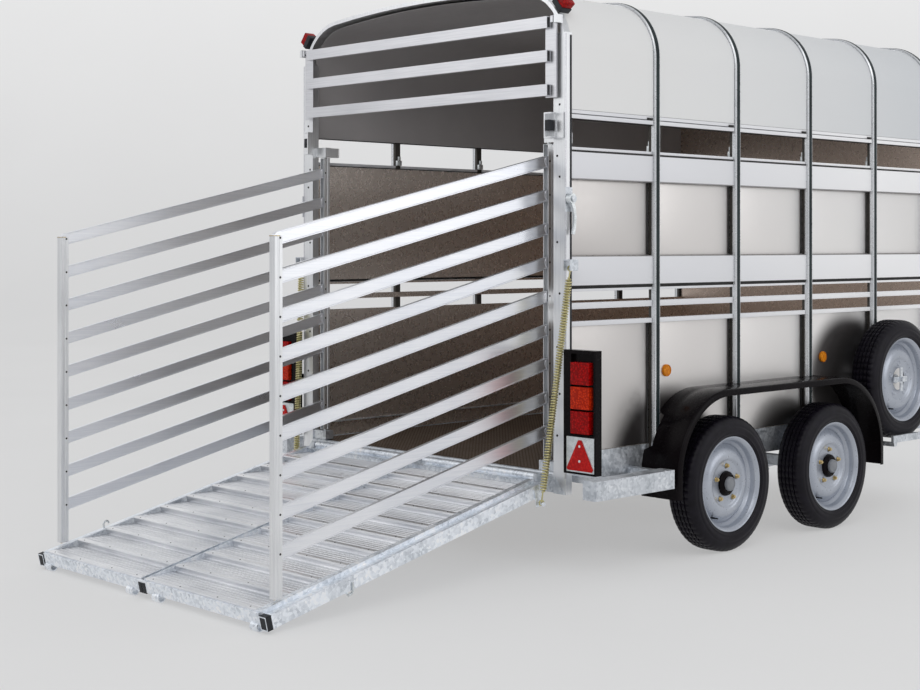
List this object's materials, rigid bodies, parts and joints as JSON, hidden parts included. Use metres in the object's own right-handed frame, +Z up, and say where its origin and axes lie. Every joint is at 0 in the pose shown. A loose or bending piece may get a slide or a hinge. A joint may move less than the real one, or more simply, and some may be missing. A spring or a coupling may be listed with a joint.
{
  "type": "livestock trailer",
  "caption": "Covered twin-axle livestock trailer with slatted side vents, hooped roof, lowered rear ramp, folding ramp gates and a ball-coupling drawbar.",
  "frame": {"origin": "centre of the bounding box at ground level, ramp lowered", "axes": "+X to the trailer's right side, +Y forward to the coupling, +Z up"},
  "size_m": [2.196, 5.93, 2.578],
  "materials": {
    "galvanised_steel": "hot-dip galvanised, dull, spangled",
    "treadplate": "worn treadplate with a brown cast",
    "aluminium_frame": "mill-finish extrusion",
    "aluminium_panel": "smooth, bright, slightly reflective sheet",
    "white_sheet": "smooth white coating",
    "black_gloss": "gloss black moulding",
    "lamp_red": "moulded red lens",
    "tyre_rubber": "matt black with fine tread",
    "silver_rim": "silver lacquer",
    "spring_steel": "yellow zinc plate",
    "cast_silver": "zinc-plated casting"
  },
  "bodies": {
    "trailer": {"chassis": "galvanised_steel", "floor": "treadplate", "rear_frame": "aluminium_frame", "hoops": "aluminium_frame", "side_panels": "aluminium_panel", "side_bands": "white_sheet", "roof": "white_sheet", "front_wall": "aluminium_frame", "mudguards": "black_gloss", "light_housings": "black_gloss", "rear_lenses": "lamp_red", "marker_lamps": "lamp_red", "running_gear": "galvanised_steel", "spare_carrier": "galvanised_steel", "spare_tyre": "tyre_rubber", "spare_rim": "silver_rim", "overrun_housing": "galvanised_steel"},
    "draw_tube": {"coupling_head": "cast_silver"},
    "coupling_handle": {"coupling_handle": "cast_silver"},
    "handbrake": {"handbrake_lever": "cast_silver"},
    "jockey_leg": {"jockey_leg": "galvanised_steel"},
    "jockey_fork": {"jockey_fork": "galvanised_steel"},
    "jockey_wheel": {"jockey_wheel": "tyre_rubber"},
    "ramp": {"ramp_frame": "galvanised_steel", "ramp_planks": "aluminium_frame"},
    "top_gate": {"top_gate": "aluminium_frame"},
    "latch_left": {"latch_left": "cast_silver"},
    "spring_left": {"spring_left": "spring_steel"},
    "gate_post_front_left": {"gate_left_front_post": "aluminium_frame"},
    "gate_post_rear_left": {"gate_left_rear_post": "aluminium_frame"},
    "rail_left_1": {"gate_left_rail_1": "aluminium_frame"},
    "rail_left_2": {"gate_left_rail_2": "aluminium_frame"},
    "rail_left_3": {"gate_left_rail_3": "aluminium_frame"},
    "rail_left_4": {"gate_left_rail_4": "aluminium_frame"},
    "rail_left_5": {"gate_left_rail_5": "aluminium_frame"},
    "rail_left_6": {"gate_left_rail_6": "aluminium_frame"},
    "rail_left_7": {"gate_left_rail_7": "aluminium_frame"},
    "rail_left_8": {"gate_left_rail_8": "aluminium_frame"},
    "rail_left_9": {"gate_left_rail_9": "aluminium_frame"},
    "wheel_rear_left": {"tyre_rear_left": "tyre_rubber", "rim_rear_left": "silver_rim"},
    "wheel_front_left": {"tyre_front_left": "tyre_rubber", "rim_front_left": "silver_rim"},
    "latch_right": {"latch_right": "cast_silver"},
    "spring_right": {"spring_right": "spring_steel"},
    "gate_post_front_right": {"gate_right_front_post": "aluminium_frame"},
    "gate_post_rear_right": {"gate_right_rear_post": "aluminium_frame"},
    "rail_right_1": {"gate_right_rail_1": "aluminium_frame"},
    "rail_right_2": {"gate_right_rail_2": "aluminium_frame"},
    "rail_right_3": {"gate_right_rail_3": "aluminium_frame"},
    "rail_right_4": {"gate_right_rail_4": "aluminium_frame"},
    "rail_right_5": {"gate_right_rail_5": "aluminium_frame"},
    "rail_right_6": {"gate_right_rail_6": "aluminium_frame"},
    "rail_right_7": {"gate_right_rail_7": "aluminium_frame"},
    "rail_right_8": {"gate_right_rail_8": "aluminium_frame"},
    "rail_right_9": {"gate_right_rail_9": "aluminium_frame"},
    "wheel_rear_right": {"tyre_rear_right": "tyre_rubber", "rim_rear_right": "silver_rim"},
    "wheel_front_right": {"tyre_front_right": "tyre_rubber", "rim_front_right": "silver_rim"}
  },
  "joints": [
    {"name": "wheel_spin_rear_left", "type": "hinge", "parent": "trailer", "child": "wheel_rear_left", "pos_m": [-0.988, -0.46597, 0.313], "axis": [1, 0, 0], "continuous": true},
    {"name": "wheel_spin_rear_right", "type": "hinge", "parent": "trailer", "child": "wheel_rear_right", "pos_m": [0.988, -0.46597, 0.313], "axis": [1, 0, 0], "continuous": true},
    {"name": "wheel_spin_front_left", "type": "hinge", "parent": "trailer", "child": "wheel_front_left", "pos_m": [-0.988, 0.38403, 0.313], "axis": [1, 0, 0], "continuous": true},
    {"name": "wheel_spin_front_right", "type": "hinge", "parent": "trailer", "child": "wheel_front_right", "pos_m": [0.988, 0.38403, 0.313], "axis": [1, 0, 0], "continuous": true},
    {"name": "ramp_hinge", "type": "hinge", "parent": "trailer", "child": "ramp", "pos_m": [0, -1.46097, 0.418], "axis": [-1, 0, 0], "range_deg": [0, 80], "deforming": ["spring_left", "spring_right"]},
    {"name": "gate_swing_left", "type": "hinge", "parent": "trailer", "child": "gate_post_front_left", "pos_m": [-0.77, -1.39797, 1.17], "axis": [0, 0, -1], "range_deg": [0, 20]},
    {"name": "gate_left_rail_1_pivot", "type": "hinge", "parent": "gate_post_front_left", "child": "rail_left_1", "pos_m": [-0.77, -1.40697, 0.61261], "axis": [-1, 0, 0], "range_deg": [0, 80]},
    {"name": "gate_left_rail_2_pivot", "type": "hinge", "parent": "gate_post_front_left", "child": "rail_left_2", "pos_m": [-0.77, -1.40697, 0.75861], "axis": [-1, 0, 0], "range_deg": [0, 80]},
    {"name": "gate_left_rail_3_pivot", "type": "hinge", "parent": "gate_post_front_left", "child": "rail_left_3", "pos_m": [-0.77, -1.40697, 0.90461], "axis": [-1, 0, 0], "range_deg": [0, 80]},
    {"name": "gate_left_rail_4_pivot", "type": "hinge", "parent": "gate_post_front_left", "child": "rail_left_4", "pos_m": [-0.77, -1.40697, 1.05061], "axis": [-1, 0, 0], "range_deg": [0, 80]},
    {"name": "gate_left_rail_5_pivot", "type": "hinge", "parent": "gate_post_front_left", "child": "rail_left_5", "pos_m": [-0.77, -1.40697, 1.19661], "axis": [-1, 0, 0], "range_deg": [0, 80]},
    {"name": "gate_left_rail_6_pivot", "type": "hinge", "parent": "gate_post_front_left", "child": "rail_left_6", "pos_m": [-0.77, -1.40697, 1.34261], "axis": [-1, 0, 0], "range_deg": [0, 80]},
    {"name": "gate_left_rail_7_pivot", "type": "hinge", "parent": "gate_post_front_left", "child": "rail_left_7", "pos_m": [-0.77, -1.40697, 1.48861], "axis": [-1, 0, 0], "range_deg": [0, 80]},
    {"name": "gate_left_rail_8_pivot", "type": "hinge", "parent": "gate_post_front_left", "child": "rail_left_8", "pos_m": [-0.77, -1.40697, 1.63461], "axis": [-1, 0, 0], "range_deg": [0, 80]},
    {"name": "gate_left_rail_9_pivot", "type": "hinge", "parent": "gate_post_front_left", "child": "rail_left_9", "pos_m": [-0.77, -1.40697, 1.78061], "axis": [-1, 0, 0], "range_deg": [0, 80]},
    {"name": "gate_left_rear_post_pivot", "type": "hinge", "parent": "rail_left_5", "child": "gate_post_rear_left", "pos_m": [-0.77, -2.86497, 0.86], "axis": [-1, 0, 0], "range_deg": [-80, 0]},
    {"name": "spring_left_pivot", "type": "hinge", "parent": "trailer", "child": "spring_left", "pos_m": [-0.924, -1.42897, 1.322], "axis": [-1, 0, 0], "range_deg": [0, 4.2]},
    {"name": "latch_left_turn", "type": "hinge", "parent": "trailer", "child": "latch_left", "pos_m": [-0.92, -1.41897, 1.615], "axis": [-1, 0, 0], "range_deg": [0, 110]},
    {"name": "gate_swing_right", "type": "hinge", "parent": "trailer", "child": "gate_post_front_right", "pos_m": [0.77, -1.39797, 1.17], "axis": [0, 0, 1], "range_deg": [0, 20]},
    {"name": "gate_right_rail_1_pivot", "type": "hinge", "parent": "gate_post_front_right", "child": "rail_right_1", "pos_m": [0.77, -1.40697, 0.61261], "axis": [-1, 0, 0], "range_deg": [0, 80]},
    {"name": "gate_right_rail_2_pivot", "type": "hinge", "parent": "gate_post_front_right", "child": "rail_right_2", "pos_m": [0.77, -1.40697, 0.75861], "axis": [-1, 0, 0], "range_deg": [0, 80]},
    {"name": "gate_right_rail_3_pivot", "type": "hinge", "parent": "gate_post_front_right", "child": "rail_right_3", "pos_m": [0.77, -1.40697, 0.90461], "axis": [-1, 0, 0], "range_deg": [0, 80]},
    {"name": "gate_right_rail_4_pivot", "type": "hinge", "parent": "gate_post_front_right", "child": "rail_right_4", "pos_m": [0.77, -1.40697, 1.05061], "axis": [-1, 0, 0], "range_deg": [0, 80]},
    {"name": "gate_right_rail_5_pivot", "type": "hinge", "parent": "gate_post_front_right", "child": "rail_right_5", "pos_m": [0.77, -1.40697, 1.19661], "axis": [-1, 0, 0], "range_deg": [0, 80]},
    {"name": "gate_right_rail_6_pivot", "type": "hinge", "parent": "gate_post_front_right", "child": "rail_right_6", "pos_m": [0.77, -1.40697, 1.34261], "axis": [-1, 0, 0], "range_deg": [0, 80]},
    {"name": "gate_right_rail_7_pivot", "type": "hinge", "parent": "gate_post_front_right", "child": "rail_right_7", "pos_m": [0.77, -1.40697, 1.48861], "axis": [-1, 0, 0], "range_deg": [0, 80]},
    {"name": "gate_right_rail_8_pivot", "type": "hinge", "parent": "gate_post_front_right", "child": "rail_right_8", "pos_m": [0.77, -1.40697, 1.63461], "axis": [-1, 0, 0], "range_deg": [0, 80]},
    {"name": "gate_right_rail_9_pivot", "type": "hinge", "parent": "gate_post_front_right", "child": "rail_right_9", "pos_m": [0.77, -1.40697, 1.78061], "axis": [-1, 0, 0], "range_deg": [0, 80]},
    {"name": "gate_right_rear_post_pivot", "type": "hinge", "parent": "rail_right_5", "child": "gate_post_rear_right", "pos_m": [0.77, -2.86497, 0.86], "axis": [-1, 0, 0], "range_deg": [-80, 0]},
    {"name": "spring_right_pivot", "type": "hinge", "parent": "trailer", "child": "spring_right", "pos_m": [0.924, -1.42897, 1.322], "axis": [-1, 0, 0], "range_deg": [0, 4.2]},
    {"name": "latch_right_turn", "type": "hinge", "parent": "trailer", "child": "latch_right", "pos_m": [0.92, -1.41897, 1.615], "axis": [-1, 0, 0], "range_deg": [0, 110]},
    {"name": "top_gate_hinge", "type": "hinge", "parent": "trailer", "child": "top_gate", "pos_m": [0, -1.45697, 2.385], "axis": [1, 0, 0], "range_deg": [-85, 0]},
    {"name": "draw_tube_slide", "type": "slide", "parent": "trailer", "child": "draw_tube", "axis": [0, 1, 0], "range_m": [-0.07, 0]},
    {"name": "coupling_handle_lift", "type": "hinge", "parent": "draw_tube", "child": "coupling_handle", "pos_m": [0, 2.86103, 0.497], "axis": [-1, 0, 0], "range_deg": [0, 50]},
    {"name": "handbrake_pull", "type": "hinge", "parent": "trailer", "child": "handbrake", "pos_m": [0.063, 2.47903, 0.463], "axis": [1, 0, 0], "range_deg": [0, 65]},
    {"name": "jockey_leg_slide", "type": "slide", "parent": "trailer", "child": "jockey_leg", "axis": [0, 0, 1], "range_m": [0, 0.1]},
    {"name": "jockey_castor", "type": "hinge", "parent": "jockey_leg", "child": "jockey_fork", "pos_m": [-0.222, 2.49903, 0.23], "axis": [0, 0, 1], "continuous": true},
    {"name": "jockey_wheel_spin", "type": "hinge", "parent": "jockey_fork", "child": "jockey_wheel", "pos_m": [-0.222, 2.46103, 0.107], "axis": [1, 0, 0], "continuous": true}
  ],
  "couplings": [
    {"joint": "gate_left_rail_1_pivot", "follows": "ramp_hinge", "ratio": 1},
    {"joint": "gate_left_rail_2_pivot", "follows": "ramp_hinge", "ratio": 1},
    {"joint": "gate_left_rail_3_pivot", "follows": "ramp_hinge", "ratio": 1},
    {"joint": "gate_left_rail_4_pivot", "follows": "ramp_hinge", "ratio": 1},
    {"joint": "gate_left_rail_5_pivot", "follows": "ramp_hinge", "ratio": 1},
    {"joint": "gate_left_rail_6_pivot", "follows": "ramp_hinge", "ratio": 1},
    {"joint": "gate_left_rail_7_pivot", "follows": "ramp_hinge", "ratio": 1},
    {"joint": "gate_left_rail_8_pivot", "follows": "ramp_hinge", "ratio": 1},
    {"joint": "gate_left_rail_9_pivot", "follows": "ramp_hinge", "ratio": 1},
    {"joint": "gate_left_rear_post_pivot", "follows": "ramp_hinge", "ratio": -1},
    {"joint": "spring_left_pivot", "follows": "ramp_hinge", "ratio": 0.0509},
    {"joint": "gate_right_rail_1_pivot", "follows": "ramp_hinge", "ratio": 1},
    {"joint": "gate_right_rail_2_pivot", "follows": "ramp_hinge", "ratio": 1},
    {"joint": "gate_right_rail_3_pivot", "follows": "ramp_hinge", "ratio": 1},
    {"joint": "gate_right_rail_4_pivot", "follows": "ramp_hinge", "ratio": 1},
    {"joint": "gate_right_rail_5_pivot", "follows": "ramp_hinge", "ratio": 1},
    {"joint": "gate_right_rail_6_pivot", "follows": "ramp_hinge", "ratio": 1},
    {"joint": "gate_right_rail_7_pivot", "follows": "ramp_hinge", "ratio": 1},
    {"joint": "gate_right_rail_8_pivot", "follows": "ramp_hinge", "ratio": 1},
    {"joint": "gate_right_rail_9_pivot", "follows": "ramp_hinge", "ratio": 1},
    {"joint": "gate_right_rear_post_pivot", "follows": "ramp_hinge", "ratio": -1},
    {"joint": "spring_right_pivot", "follows": "ramp_hinge", "ratio": 0.0509}
  ]
}
